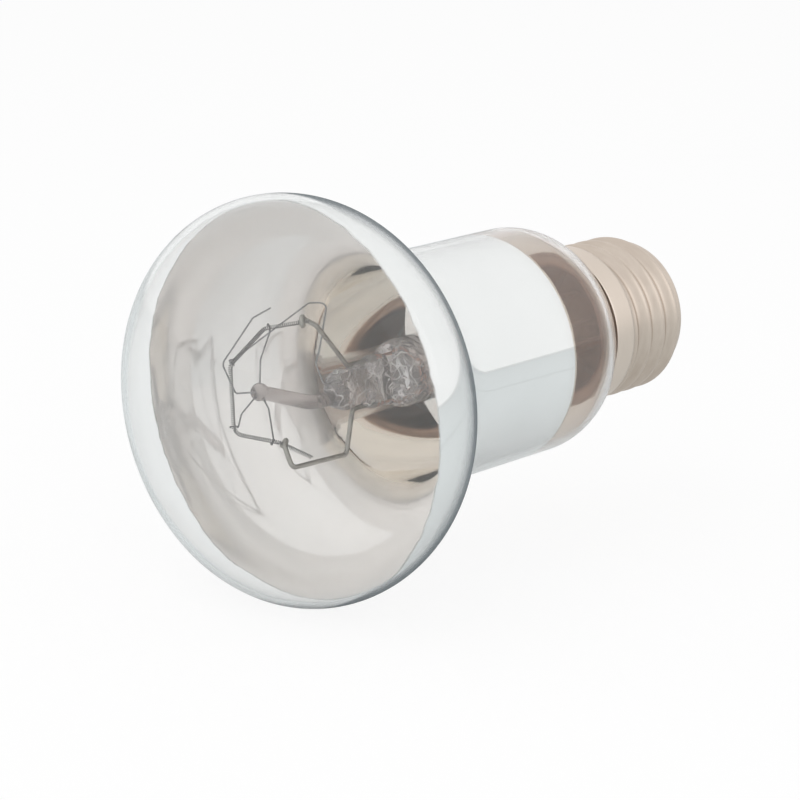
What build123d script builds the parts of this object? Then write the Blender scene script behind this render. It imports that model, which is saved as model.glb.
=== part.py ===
import os
from math import acos, asin, atan2, cos, degrees, radians, sin, sqrt

from build123d import *

# Mirrored reflector lamp with an E27 screw cap, in millimetres.
# The lamp's axis is Y: the lens faces -Y, the cap points to +Y and the contact's face is at y = 0.

# Glass envelope
overall_length = 103.0
head_diameter = 63.0
lens_radius = 58.5
lens_rounding = 14.5
bell_rounding = 15.7
bell_fillet = 12.0
neck_diameter = 37.2
shoulder_rounding = 10.0
shoulder_fillet = 1.5
tail_diameter = 22.4
tail_length = 10.2
glass_wall = 1.0

# Aluminium film on the inside of the bell and neck
film_thickness = 0.08
film_front_lap = 1.4  # reach in front of the widest circle
film_back_gap = 5.8  # bare neck between the film and the shoulder

# Stem: flare tube, domed end and flat press
stem_diameter = 11.0
stem_wall = 0.8
dome_rounding = 4.0
dome_wall = 2.4
dome_corner = 1.0
press_depth = 25.5  # from the lens apex to the front of the press
press_reach = 12.5  # from the front of the press to the dome
press_front_width = 5.4
press_back_width = 9.6
press_thickness = 3.4
press_edge = 1.2
exhaust_diameter = 3.0
exhaust_bore = 1.8
exhaust_drop = 1.5
exhaust_tip = 2.0  # reach beyond the seal of the flare
exhaust_seal = 2.0

# Glass rod with a button, which carries the support wires
arbor_diameter = 2.2
arbor_drop = 1.0
arbor_seat = 3.0
arbor_straight = 3.5
arbor_bend = 8.0
button_diameter = 3.2
button_depth = 13.0  # from the lens apex
button_side = -2.0
button_height = 2.2

# Wires of the mount
inner_lead_diameter = 0.76
outer_lead_diameter = 0.5
support_diameter = 0.34
filament_diameter = 0.7
upper_lead_height = 3.4
lower_lead_drop = 3.7
lead_weld = 10.0  # from the front of the press to the weld inside it
upper_lead_exit = 3.9  # from the front of the press to the bend
lower_lead_exit = 4.9
lead_crimp = 0.08  # the lead's end is squeezed this far into the coil
wire_bend = 0.9
hook_clearance = 0.04
hook_roundness = 0.85  # bend of a hook, as a share of its reach
support_seat = 0.6
press_support_height = 1.3
press_support_seat = 2.0
press_support_rise = 1.0
filament_bend = 1.5
copper_bend = 0.45
shell_lead_step = 1.6  # spacing of the bends where the lead crosses the stem
shell_lead_side = 3.2
shell_lead_height = 2.2
shell_lead_radius = 4.0  # from the axis, inside the stem
shell_lead_angle = -53.0
shell_lead_turn = 1.2  # clear of the lip of the flare
contact_lead_clear = 0.7  # from the tip of the tube and from the insulator

# Screw cap
cap_height = 24.5
rim_lap = 0.8  # the glass tail starts this far inside the rim
skirt_diameter = 26.7
skirt_length = 5.0
skirt_step = 0.7
shell_wall = 0.35
thread_root_diameter = 24.3
thread_diameter = 26.3
thread_pitch = 3.629
thread_base = 3.2  # width of the ridge at its foot
thread_top = 0.9
thread_sink = 0.2
thread_runout = 1.6
shell_end = 6.0  # from the contact's face to the end of the thread
shell_mouth_diameter = 18.4
shell_mouth = 4.3
insulator_depth = 8.2
insulator_ledge = 0.5
cement_inset = 1.6
contact_diameter = 9.6
contact_thickness = 0.7
contact_edge = 0.25
contact_hole = 1.2
solder_diameter = 7.0
solder_height = 0.9
solder_land = 3.6
solder_rounding = 2.3
contact_lead_cover = 0.4  # solder over the end of the wire

# Radii and stations along the axis
head_r = head_diameter / 2
neck_r = neck_diameter / 2
tail_r = tail_diameter / 2
stem_r = stem_diameter / 2
lens_apex = -overall_length
lens_centre = lens_apex + lens_radius
lens_side = head_r - lens_rounding
widest = lens_centre - sqrt((lens_radius - lens_rounding) ** 2 - lens_side**2)
lens_angle = degrees(atan2(lens_side, lens_centre - widest))
bell_angle = degrees(acos(1 - (head_r - neck_r) / (bell_rounding + bell_fillet)))
neck_start = widest + (bell_rounding + bell_fillet) * sin(radians(bell_angle))
cap_rim = -cap_height
tail_start = cap_rim + rim_lap
tail_end = tail_start + tail_length
shoulder_angle = degrees(acos(1 - (neck_r - tail_r) / (shoulder_rounding + shoulder_fillet)))
shoulder_start = tail_start - (shoulder_rounding + shoulder_fillet) * sin(radians(shoulder_angle))
film_start_angle = -degrees(asin(film_front_lap / (lens_rounding - glass_wall)))
film_end = shoulder_start - film_back_gap
press_front = lens_apex + press_depth
dome_front = press_front + press_reach
cavity_front = dome_front + dome_wall
weld = press_front + lead_weld
flare_r = tail_r - glass_wall - stem_r
cavity_r = stem_r - stem_wall
skirt_r = skirt_diameter / 2
root_r = thread_root_diameter / 2
crest_r = thread_diameter / 2
bore_r = root_r - shell_wall
mouth_r = shell_mouth_diameter / 2
skirt_end = cap_rim + skirt_length
thread_start = skirt_end + skirt_step
contact_r = contact_diameter / 2
contact_front = -solder_height
contact_back = contact_front - contact_thickness

os.makedirs("parts", exist_ok=True)


def save(part, name):
    part.label = name
    export_step(part, f"parts/{name}.step")


# Envelope: the wall's line from the lens to the tail, at a given depth inside the glass
def bell_line(inset, start_angle):
    CenterArc((lens_side, widest), lens_rounding - inset, start_angle, -start_angle)
    CenterArc((head_r - bell_rounding, widest), bell_rounding - inset, 0, bell_angle)
    CenterArc((neck_r + bell_fillet, neck_start), bell_fillet + inset, 180 + bell_angle, -bell_angle)


def wall_line(inset):
    CenterArc((0, lens_centre), lens_radius - inset, -90, lens_angle)
    bell_line(inset, lens_angle - 90)
    Line((neck_r - inset, neck_start), (neck_r - inset, shoulder_start))
    CenterArc((neck_r - shoulder_rounding, shoulder_start), shoulder_rounding - inset, 0, shoulder_angle)
    CenterArc(
        (tail_r + shoulder_fillet, tail_start),
        shoulder_fillet + inset,
        180 + shoulder_angle,
        -shoulder_angle,
    )
    Line((tail_r - inset, tail_start), (tail_r - inset, tail_end))


with BuildPart() as envelope:
    with BuildSketch():
        with BuildLine():
            wall_line(0)
            wall_line(glass_wall)
            Line((0, lens_apex), (0, lens_apex + glass_wall))
            Line((tail_r, tail_end), (tail_r - glass_wall, tail_end))
        make_face()
    revolve(axis=Axis.Y)
save(envelope.part, "envelope")


# Mirror film against the inner face of the glass
def film_point(inset):
    radius = lens_rounding - inset
    angle = radians(film_start_angle)
    return (lens_side + radius * cos(angle), widest + radius * sin(angle))


film_inset = glass_wall + film_thickness
with BuildPart() as mirror_coating:
    with BuildSketch():
        with BuildLine():
            bell_line(glass_wall, film_start_angle)
            bell_line(film_inset, film_start_angle)
            Line((neck_r - glass_wall, neck_start), (neck_r - glass_wall, film_end))
            Line((neck_r - film_inset, neck_start), (neck_r - film_inset, film_end))
            Line((neck_r - glass_wall, film_end), (neck_r - film_inset, film_end))
            Line(film_point(glass_wall), film_point(film_inset))
        make_face()
    revolve(axis=Axis.Y)
save(mirror_coating.part, "mirror_coating")


# A place in the mount: across, from the lens apex, and up
def place(across, depth, height):
    return (across, lens_apex + depth, height)


def wire(route, diameter, bends):
    with BuildPart() as bent_wire:
        with BuildLine() as path:
            FilletPolyline(*route, radius=bends)
        with BuildSketch(Plane(origin=path.line @ 0, z_dir=path.line % 0)):
            Circle(diameter / 2)
        sweep(path=path.line)
    return bent_wire.part


# A round passage along the first run of a wire or rod that is sealed into glass
def passage(route, diameter, length):
    run = Vector(route[1]) - Vector(route[0])
    with Locations(Plane(origin=route[0], z_dir=run)):
        Cylinder(
            diameter / 2,
            length,
            align=(Align.CENTER, Align.CENTER, Align.MIN),
            mode=Mode.SUBTRACT,
        )


# Filament: a horseshoe of coil from the upper lead round the hooks to the lower lead
filament_route = [
    place(0.4, 20.8, 12.0),
    place(-5.2, 17.2, 10.6),
    place(-11.0, 15.6, 4.2),
    place(-10.2, 15.4, -6.4),
    place(-3.4, 18.2, -7.0),
    place(-0.2, 22.0, -9.6),
]
filament = wire(filament_route, filament_diameter, filament_bend)
save(filament, "filament")


# A wire whose end goes round the coil, at a share of one of the coil's straight runs
def hooked_wire(route, diameter, clearance, run_number, share):
    run_start = Vector(filament_route[run_number])
    run = Vector(filament_route[run_number + 1]) - run_start
    hold = run_start + run * share
    way = hold - Vector(route[-1])
    beyond = (way - run * (way.dot(run) / run.length**2)).normalized()
    beside = run.normalized().cross(beyond)
    reach = (filament_diameter + diameter) / 2 + clearance
    hook = [
        hold + (beside - beyond) * reach,
        hold + (beside + beyond) * reach,
        hold + (beyond - beside) * reach,
        hold - beside * reach,
    ]
    hook_bends = [reach * hook_roundness] * (len(hook) - 1)
    return wire([*route, *hook], diameter, [wire_bend] * (len(route) - 1) + hook_bends)


# Leads: nickel from the weld in the press to the coil, copper from the weld to the cap
upper_lead_route = [
    (0, weld, upper_lead_height),
    (0, press_front + upper_lead_exit, upper_lead_height),
    place(0.4, 22.4, 11.0),
]
lower_lead_route = [
    (0, weld, -lower_lead_drop),
    (0, press_front + lower_lead_exit, -lower_lead_drop),
    place(0.5, 28.4, -10.4),
    place(-0.4, 18.0, -10.4),
]


def beside_axis(radius, station):
    angle = radians(shell_lead_angle)
    return (radius * cos(angle), station, radius * sin(angle))


shell_lead_back = tail_end + stem_wall + shell_lead_turn
shell_lead_gap = (tail_r + bore_r) / 2
shell_lead_end = sqrt((skirt_r - shell_wall) ** 2 - (outer_lead_diameter / 2) ** 2)
shell_lead_route = [
    (0, weld, upper_lead_height),
    (0, cavity_front + shell_lead_step, upper_lead_height),
    (shell_lead_side, cavity_front + 2 * shell_lead_step, shell_lead_height),
    beside_axis(shell_lead_radius, cavity_front + 3 * shell_lead_step),
    beside_axis(shell_lead_radius, shell_lead_back),
    beside_axis(shell_lead_gap, shell_lead_back),
    beside_axis(shell_lead_gap, cap_rim + cement_inset / 2),
    beside_axis(shell_lead_end, cap_rim + cement_inset / 2),
]
contact_lead_route = [
    (0, weld, -lower_lead_drop),
    (0, tail_end + exhaust_tip + contact_lead_clear, -lower_lead_drop),
    (0, -insulator_depth - contact_lead_clear, 0),
    (0, -contact_lead_cover, 0),
]

# Glass rod from the press to its button
button = place(button_side, button_depth, button_height)
arbor_route = [
    (0, press_front + arbor_seat, -arbor_drop),
    (0, press_front - arbor_straight, -arbor_drop),
    button,
]


# Support wires: four from the button and one from the press, four of them hooked round the coil
def from_button(*points):
    run = Vector(points[0]) - Vector(button)
    root = Vector(button) + run.normalized() * (button_diameter / 2 - support_seat)
    return [root, *points]


upper_support_route = from_button(place(-3.4, 14.6, 6.6))
side_support_route = from_button(
    place(-8.2, 14.0, 0.6),
    place(-11.9, 14.8, 4.4),
    place(-7.0, 16.6, 12.0),
    place(-4.6, 18.0, 13.7),
)
lower_support_route = from_button(place(-2.4, 15.2, -0.9))
back_support_route = from_button(place(-7.2, 14.2, -2.4))
press_support_route = [
    (0, press_front + press_support_seat, press_support_height),
    (0, press_front - press_support_rise, press_support_height),
    place(-1.6, 24.4, 4.4),
    place(0.3, 25.0, 14.1),
    place(-1.8, 23.2, 14.0),
]

# Stem: the tapered press, and the tube with its domed end and its flare to the seal at the tail
with BuildPart() as stem:
    with BuildSketch(Plane.YZ):
        with BuildLine():
            Polyline(
                (press_front, press_front_width / 2),
                (dome_front + dome_wall / 2, press_back_width / 2),
                (dome_front + dome_wall / 2, -press_back_width / 2),
                (press_front, -press_front_width / 2),
                close=True,
            )
        make_face()
    extrude(amount=press_thickness / 2, both=True)
    fillet(stem.edges().filter_by(Axis.X).group_by(Axis.Y)[0], radius=press_edge)
    fillet(stem.faces().filter_by(Axis.X).edges(), radius=press_edge)
    with BuildSketch():
        with BuildLine():
            flare_centre = (stem_r + flare_r, tail_end - flare_r)
            Line((0, dome_front), (stem_r - dome_rounding, dome_front))
            CenterArc((stem_r - dome_rounding, dome_front + dome_rounding), dome_rounding, -90, 90)
            Line((stem_r, dome_front + dome_rounding), (stem_r, tail_end - flare_r))
            CenterArc(flare_centre, flare_r, 180, -90)
            Polyline(
                (stem_r + flare_r, tail_end),
                (tail_r, tail_end),
                (tail_r, tail_end + stem_wall),
                (stem_r + flare_r, tail_end + stem_wall),
            )
            CenterArc(flare_centre, flare_r + stem_wall, 90, 90)
            Line((cavity_r, tail_end - flare_r), (cavity_r, cavity_front + dome_corner))
            CenterArc((cavity_r - dome_corner, cavity_front + dome_corner), dome_corner, -90, 90)
            Line((cavity_r - dome_corner, cavity_front), (0, cavity_front))
            Line((0, cavity_front), (0, dome_front))
        make_face()
    revolve(axis=Axis.Y)
    passage(upper_lead_route, inner_lead_diameter, lead_weld)
    passage(lower_lead_route, inner_lead_diameter, lead_weld)
    passage(shell_lead_route, outer_lead_diameter, cavity_front - weld + dome_corner)
    passage(contact_lead_route, outer_lead_diameter, cavity_front - weld + dome_corner)
    passage(arbor_route, arbor_diameter, arbor_seat)
    passage(press_support_route, support_diameter, press_support_seat)
save(stem.part, "stem")

with BuildPart() as exhaust_tube:
    tip_back = tail_end + exhaust_tip
    exhaust_r = exhaust_diameter / 2
    with BuildSketch(Plane.XY.offset(-exhaust_drop)):
        with BuildLine():
            Line((exhaust_bore / 2, cavity_front), (exhaust_r, cavity_front))
            Line((exhaust_r, cavity_front), (exhaust_r, tip_back - exhaust_r))
            CenterArc((0, tip_back - exhaust_r), exhaust_r, 0, 90)
            Line((0, tip_back), (0, tip_back - exhaust_seal))
            Line((0, tip_back - exhaust_seal), (exhaust_bore / 2, tip_back - exhaust_seal))
            Line((exhaust_bore / 2, tip_back - exhaust_seal), (exhaust_bore / 2, cavity_front))
        make_face()
    revolve(axis=Axis((0, 0, -exhaust_drop), (0, 1, 0)))
save(exhaust_tube.part, "exhaust_tube")

with BuildPart() as arbor:
    add(wire(arbor_route, arbor_diameter, arbor_bend))
    with Locations(button):
        Sphere(button_diameter / 2)
    for route in (upper_support_route, side_support_route, lower_support_route, back_support_route):
        passage(route, support_diameter, button_diameter)
save(arbor.part, "arbor")

with BuildPart() as inner_lead_upper:
    add(hooked_wire(upper_lead_route, inner_lead_diameter, -lead_crimp, 0, 0.12))
    add(filament, mode=Mode.SUBTRACT)
save(inner_lead_upper.part, "inner_lead_upper")

with BuildPart() as inner_lead_lower:
    add(hooked_wire(lower_lead_route, inner_lead_diameter, -lead_crimp, 4, 0.15))
    add(filament, mode=Mode.SUBTRACT)
save(inner_lead_lower.part, "inner_lead_lower")

save(wire(shell_lead_route, outer_lead_diameter, copper_bend), "outer_lead_shell")
save(wire(contact_lead_route, outer_lead_diameter, wire_bend), "outer_lead_contact")

save(hooked_wire(upper_support_route, support_diameter, hook_clearance, 0, 0.9), "support_wire_1")
save(wire(side_support_route, support_diameter, wire_bend), "support_wire_2")
save(hooked_wire(lower_support_route, support_diameter, hook_clearance, 3, 0.85), "support_wire_3")
save(hooked_wire(back_support_route, support_diameter, hook_clearance, 2, 0.9), "support_wire_4")
save(hooked_wire(press_support_route, support_diameter, hook_clearance, 1, 0.93), "support_wire_5")

# Cap shell: a rolled ridge on a helix, trimmed where it runs out, on the turned shell
with BuildPart() as cap_shell:
    with BuildLine() as thread_path:
        Helix(thread_pitch, -shell_end - skirt_end, root_r, center=(0, skirt_end, 0), direction=(0, 1, 0))
    thread_foot = thread_path.line @ 0
    with BuildSketch(
        Plane(origin=thread_foot, x_dir=(thread_foot.X, 0, thread_foot.Z), z_dir=thread_path.line % 0)
    ):
        Polygon(
            (-thread_sink, -thread_base / 2),
            (crest_r - root_r, -thread_top / 2),
            (crest_r - root_r, thread_top / 2),
            (-thread_sink, thread_base / 2),
            align=None,
        )
    sweep(path=thread_path.line, is_frenet=True)
    with BuildSketch():
        Polygon(
            (0, cap_rim),
            (crest_r + thread_sink, cap_rim),
            (crest_r + thread_sink, -shell_end - thread_runout),
            (root_r - thread_sink, -shell_end),
            (0, -shell_end),
            align=None,
        )
    revolve(axis=Axis.Y, mode=Mode.INTERSECT)
    with BuildSketch():
        Polygon(
            (0, cap_rim),
            (skirt_r, cap_rim),
            (skirt_r, skirt_end),
            (root_r, thread_start),
            (root_r, -shell_end),
            (mouth_r, -shell_mouth),
            (0, -shell_mouth),
            align=None,
        )
    revolve(axis=Axis.Y)
    with BuildSketch():
        Polygon(
            (0, cap_rim),
            (skirt_r - shell_wall, cap_rim),
            (skirt_r - shell_wall, skirt_end),
            (bore_r, thread_start),
            (bore_r, -shell_end - shell_wall),
            (mouth_r, -shell_mouth - shell_wall),
            (mouth_r, -shell_mouth),
            (0, -shell_mouth),
            align=None,
        )
    revolve(axis=Axis.Y, mode=Mode.SUBTRACT)
save(cap_shell.part, "cap_shell")

# Cement between the glass tail and the shell, with the shell's lead through it
with BuildPart() as cap_cement:
    with BuildSketch():
        Polygon(
            (tail_r, cap_rim + cement_inset),
            (skirt_r - shell_wall, cap_rim + cement_inset),
            (skirt_r - shell_wall, skirt_end),
            (bore_r, thread_start),
            (bore_r, tail_end),
            (tail_r, tail_end),
            align=None,
        )
    revolve(axis=Axis.Y)
    passage(
        [beside_axis(shell_lead_gap, cap_rim), beside_axis(shell_lead_gap, tail_end)],
        outer_lead_diameter,
        cap_height,
    )
save(cap_cement.part, "cap_cement")

with BuildPart() as cap_insulator:
    with BuildSketch():
        Polygon(
            (contact_hole / 2, -insulator_depth),
            (bore_r, -insulator_depth),
            (bore_r, -shell_end - shell_wall),
            (mouth_r, -shell_mouth - shell_wall),
            (mouth_r, -shell_mouth),
            (contact_r + insulator_ledge, contact_back),
            (contact_hole / 2, contact_back),
            align=None,
        )
    revolve(axis=Axis.Y)
save(cap_insulator.part, "cap_insulator")

with BuildPart() as centre_contact:
    with BuildSketch():
        Polygon(
            (contact_hole / 2, contact_back),
            (contact_r, contact_back),
            (contact_r, contact_front),
            (contact_hole / 2, contact_front),
            align=None,
        )
    revolve(axis=Axis.Y)
    chamfer(centre_contact.edges().group_by(Axis.Y)[-1].sort_by(SortBy.RADIUS)[-1], length=contact_edge)
save(centre_contact.part, "centre_contact")

with BuildPart() as centre_solder:
    with BuildSketch():
        with BuildLine():
            Line((0, contact_front), (solder_diameter / 2, contact_front))
            RadiusArc((solder_diameter / 2, contact_front), (solder_land / 2, 0), -solder_rounding)
            Line((solder_land / 2, 0), (0, 0))
            Line((0, 0), (0, contact_front))
        make_face()
    revolve(axis=Axis.Y)
    passage([(0, contact_front, 0), (0, 0, 0)], outer_lead_diameter, solder_height - contact_lead_cover)
save(centre_solder.part, "centre_solder")
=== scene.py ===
import math

import bpy
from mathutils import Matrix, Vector, noise


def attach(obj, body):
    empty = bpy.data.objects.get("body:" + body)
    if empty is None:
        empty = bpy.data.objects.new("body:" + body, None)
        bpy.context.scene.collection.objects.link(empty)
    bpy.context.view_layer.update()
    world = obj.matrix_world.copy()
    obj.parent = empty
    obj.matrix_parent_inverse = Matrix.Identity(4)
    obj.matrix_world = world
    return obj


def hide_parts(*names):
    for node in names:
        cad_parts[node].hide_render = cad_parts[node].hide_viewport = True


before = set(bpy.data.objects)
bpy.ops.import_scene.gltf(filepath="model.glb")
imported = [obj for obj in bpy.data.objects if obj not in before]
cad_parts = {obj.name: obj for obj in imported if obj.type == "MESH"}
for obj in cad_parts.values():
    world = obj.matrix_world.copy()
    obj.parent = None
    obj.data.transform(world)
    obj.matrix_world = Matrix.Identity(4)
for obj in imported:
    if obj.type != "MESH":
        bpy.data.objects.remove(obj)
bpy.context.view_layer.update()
scene = bpy.context.scene
mm = 0.001
print("frame loaded:", len(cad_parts), "nodes")


# camera first, at the photo's place
cameraSet = {
    "place": (0.27973, -0.36294, 0.10961), "azimuth": 42.874, "elevation": 15.506,
    "lens": 122.69, "sensor": 36, "near": 0.01, "far": 20,
}
bpy.ops.object.camera_add(location=cameraSet["place"])
camera = bpy.context.object
tilt = math.radians(90 - cameraSet["elevation"])
camera.rotation_euler = (tilt, 0, math.radians(cameraSet["azimuth"]))
camera.data.lens = cameraSet["lens"]
camera.data.sensor_width = cameraSet["sensor"]
camera.data.clip_start = cameraSet["near"]
camera.data.clip_end = cameraSet["far"]
scene.camera = camera


# shader maths: a wrapped socket, with one method for every other node
class Look:
    def __init__(self, tree, socket=None):
        self.tree = tree
        self.socket = socket

    def node(self, kind, settings=None, sockets=None, out=0):
        made = self.tree.nodes.new(kind)
        for key, value in (settings or {}).items():
            if key == "stops":  # colour ramp
                elements = made.color_ramp.elements
                while len(elements) < len(value):
                    elements.new(1)
                for stop, (position, colour) in zip(elements, value):
                    stop.position = position
                    stop.color = (*colour, 1)
            else:
                setattr(made, key, value)
        for key, value in (sockets or {}).items():
            if isinstance(value, Look):
                self.tree.links.new(value.socket, made.inputs[key])
            else:
                made.inputs[key].default_value = value
        return Look(self.tree, made.outputs[out] if made.outputs else None)

    def sum(self, operation, first, second):
        return self.node("ShaderNodeMath", {"operation": operation}, {0: first, 1: second})

    def __add__(self, other):
        return self.sum("ADD", self, other)

    def __radd__(self, other):
        return self.sum("ADD", other, self)

    def __sub__(self, other):
        return self.sum("SUBTRACT", self, other)

    def __rsub__(self, other):
        return self.sum("SUBTRACT", other, self)

    def __mul__(self, other):
        return self.sum("MULTIPLY", self, other)

    def __rmul__(self, other):
        return self.sum("MULTIPLY", other, self)


def newLook(name):
    material = bpy.data.materials.new(name)
    material.use_nodes = True
    material.node_tree.nodes.clear()
    return material, Look(material.node_tree)


def finishLook(look, surface, volume=None):
    sockets = {"Surface": surface}
    if volume:
        sockets["Volume"] = volume
    look.node("ShaderNodeOutputMaterial", {}, sockets)


def coordinate(look, axis):  # one object coordinate, in metres
    spot = look.node("ShaderNodeTexCoord", {}, {}, "Object")
    return look.node("ShaderNodeSeparateXYZ", {}, {"Vector": spot}, axis)


def noiseOn(look, scale, detail, stretch=(1, 1, 1)):  # scale per millimetre of the part
    spot = look.node("ShaderNodeTexCoord", {}, {}, "Object")
    inMm = tuple(1000 * s for s in stretch)
    spot = look.node("ShaderNodeMapping", {}, {"Vector": spot, "Scale": inMm})
    return look.node("ShaderNodeTexNoise", {}, {"Vector": spot, "Scale": scale, "Detail": detail})


def ramp(look, value, *stops):
    return look.node("ShaderNodeValToRGB", {"stops": stops}, {"Fac": value})


def between(look, value, low, high, outLow=0.0, outHigh=1.0):
    return look.node("ShaderNodeMapRange", {"interpolation_type": "SMOOTHSTEP"}, {
        "Value": value, "From Min": low, "From Max": high, "To Min": outLow, "To Max": outHigh,
    })


def rise(look, value, origin, reach):  # 0 to 1 over a reach in millimetres from the origin
    return between(look, value, (origin + reach[0]) * mm, (origin + reach[1]) * mm)


def fall(look, value, origin, reach):  # 1 to 0 over such a reach
    return between(look, value, (origin + reach[0]) * mm, (origin + reach[1]) * mm, 1, 0)


def bump(look, height, strength, depth):
    sockets = {"Height": height, "Strength": strength, "Distance": depth}
    return look.node("ShaderNodeBump", {}, sockets)


def principled(look, sockets):
    return look.node("ShaderNodeBsdfPrincipled", {}, sockets)


def absorption(look, colour, density):
    return look.node("ShaderNodeVolumeAbsorption", {}, {"Color": colour, "Density": density})


def mixColours(look, share, first, second):
    return look.node("ShaderNodeMix", {"data_type": "RGBA"}, {0: share, 6: first, 7: second}, 2)


def mixLooks(look, share, first, second):
    return look.node("ShaderNodeMixShader", {}, {0: share, 1: first, 2: second})


# modelling helpers
mergeGap = 2e-6  # metres
sameSpot = 1e-4  # millimetres


def pick(piece):
    bpy.ops.object.select_all(action="DESELECT")
    piece.select_set(True)
    bpy.context.view_layer.objects.active = piece


def drawLine(name, points):  # one vertex, extruded from point to point
    bpy.ops.object.select_all(action="DESELECT")
    bpy.ops.mesh.primitive_plane_add(size=mm)
    line = bpy.context.object
    line.name = name
    bpy.ops.object.mode_set(mode="EDIT")
    bpy.ops.mesh.merge(type="CENTER")
    bpy.ops.transform.translate(value=points[0])
    for here, there in zip(points, points[1:]):
        bpy.ops.mesh.extrude_region_move(TRANSFORM_OT_translate={"value": there - here})
    bpy.ops.object.mode_set(mode="OBJECT")
    return line


def spinRound(piece, steps, centre=(0, 0, 0), angle=40):
    pick(piece)
    bpy.ops.object.mode_set(mode="EDIT")
    bpy.ops.mesh.select_all(action="SELECT")
    bpy.ops.mesh.spin(steps=steps, angle=2 * math.pi, center=centre, axis=(0, 1, 0))
    bpy.ops.mesh.select_all(action="SELECT")
    bpy.ops.mesh.remove_doubles(threshold=mergeGap)
    bpy.ops.mesh.normals_make_consistent(inside=False)
    bpy.ops.object.mode_set(mode="OBJECT")
    bpy.ops.object.shade_smooth_by_angle(angle=math.radians(angle))


def onAxis(points, lift=0):  # radius and station to a point in the drawing plane
    return [Vector((r * mm, y * mm, lift * mm)) for r, y in points]


def arc(centre, radius, start, end, count):
    turns = [math.radians(start + (end - start) * i / count) for i in range(count + 1)]
    return [(centre[0] + radius * math.cos(t), centre[1] + radius * math.sin(t)) for t in turns]


def run(start, end, count):
    return [
        tuple(a + (b - a) * i / count for a, b in zip(start, end))
        for i in range(count + 1)
    ]


def joined(*lists):  # one line from several, without the doubled ends
    line = []
    for part in lists:
        for p in part:
            if not line or math.dist(p, line[-1]) > sameSpot:
                line.append(p)
    return line


def outwardness(face):  # negative on an inner wall
    return face.normal.x * face.center.x + face.normal.z * face.center.z


def dress(piece, material, node):
    piece.data.materials.clear()
    piece.data.materials.append(material)
    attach(piece, "root")
    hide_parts(node)


# blown glass of the bulb
bulb = {
    "length": 103.0, "headR": 31.5, "lensR": 58.5, "lensRounding": 14.5,
    "bellRounding": 15.7, "bellFillet": 12.0, "neckR": 18.6,
    "shoulderRounding": 10.0, "shoulderFillet": 1.5,
    "tailR": 11.2, "tailStart": -23.7, "tailEnd": -13.5,
    "wall": 1.0, "steps": 192, "filmGap": 5.8,
    "clear": 0.985, "depthColour": (0.79, 0.828, 0.823, 1), "depthTint": 190.0,
    "tint": (0.86, 0.79, 0.70, 1), "haze": (0.74, 0.47, 0.35, 1),
    "thinHaze": 0.27, "thinStart": (-0.6, -0.2), "thickHaze": 0.3, "thickStart": (-27.2, -25.6),
    # the dark colour below and the keys after it set a painted shade on the bell's grazing edges,
    # darker towards the underside
    "edge": (0.155, 0.18, 0.195, 1), "paintedEdgeShadeShare": 0.85, "edgeFacing": (0.54, 0.84),
    "edgeFront": (0.3, 1.5), "edgeBack": (-12, -6), "underside": (-27, -16), "underForward": 5,
    "paintedLipShadeShare": 0.5, "lipFacing": (0.7, 0.88), "lipFront": (-9, -7), "lipBack": (-4.7, -3.5),
}
lensApex = -bulb["length"]
lensCentre = lensApex + bulb["lensR"]
lensSide = bulb["headR"] - bulb["lensRounding"]
widest = lensCentre - math.sqrt((bulb["lensR"] - bulb["lensRounding"]) ** 2 - lensSide**2)
lensAngle = math.degrees(math.atan2(lensSide, lensCentre - widest))
bellSum = bulb["bellRounding"] + bulb["bellFillet"]
bellAngle = math.degrees(math.acos(1 - (bulb["headR"] - bulb["neckR"]) / bellSum))
neckStart = widest + bellSum * math.sin(math.radians(bellAngle))
shoulderSum = bulb["shoulderRounding"] + bulb["shoulderFillet"]
shoulderAngle = math.degrees(math.acos(1 - (bulb["neckR"] - bulb["tailR"]) / shoulderSum))
shoulderStart = bulb["tailStart"] - shoulderSum * math.sin(math.radians(shoulderAngle))
filmEnd = shoulderStart - bulb["filmGap"]


def bellLine(inset, startAngle):
    rounding, fillet = bulb["bellRounding"], bulb["bellFillet"]
    return joined(
        arc((lensSide, widest), bulb["lensRounding"] - inset, startAngle, 0, 26),
        arc((bulb["headR"] - rounding, widest), rounding - inset, 0, bellAngle, 24),
        arc((bulb["neckR"] + fillet, neckStart), fillet + inset, 180 + bellAngle, 180, 20),
    )


def wallLine(inset):
    neck, tail = bulb["neckR"] - inset, bulb["tailR"] - inset
    rounding, fillet = bulb["shoulderRounding"], bulb["shoulderFillet"]
    shoulder = (bulb["neckR"] - rounding, shoulderStart)
    corner = (bulb["tailR"] + fillet, bulb["tailStart"])
    return joined(
        arc((0, lensCentre), bulb["lensR"] - inset, -90, lensAngle - 90, 34),
        bellLine(inset, lensAngle - 90),
        run((neck, neckStart), (neck, shoulderStart), 12),
        arc(shoulder, rounding - inset, 0, shoulderAngle, 22),
        arc(corner, fillet + inset, 180 + shoulderAngle, 180, 10),
        run((tail, bulb["tailStart"]), (tail, bulb["tailEnd"]), 4),
    )


def paintedEdgeShade(look, station, inside):  # painted shade: how far the bell's grazing edge turns dark, standing in for the floor's contact shadow mirrored there
    facing = look.node("ShaderNodeLayerWeight", {}, {"Blend": 0.5}, "Facing")
    under = fall(look, coordinate(look, "Z"), 0, bulb["underside"])
    forward = station + bulb["underForward"] * mm * under  # the painted shade starts sooner on the underside
    bell = rise(look, forward, widest, bulb["edgeFront"])
    bell = bell * fall(look, station, neckStart, bulb["edgeBack"])
    lip = under * rise(look, station, widest, bulb["lipFront"])
    lip = lip * fall(look, station, widest, bulb["lipBack"])
    bell = bulb["paintedEdgeShadeShare"] * between(look, facing, *bulb["edgeFacing"]) * bell
    lip = bulb["paintedLipShadeShare"] * between(look, facing, *bulb["lipFacing"]) * lip
    return (bell + lip) * (1.0 - inside)


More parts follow.
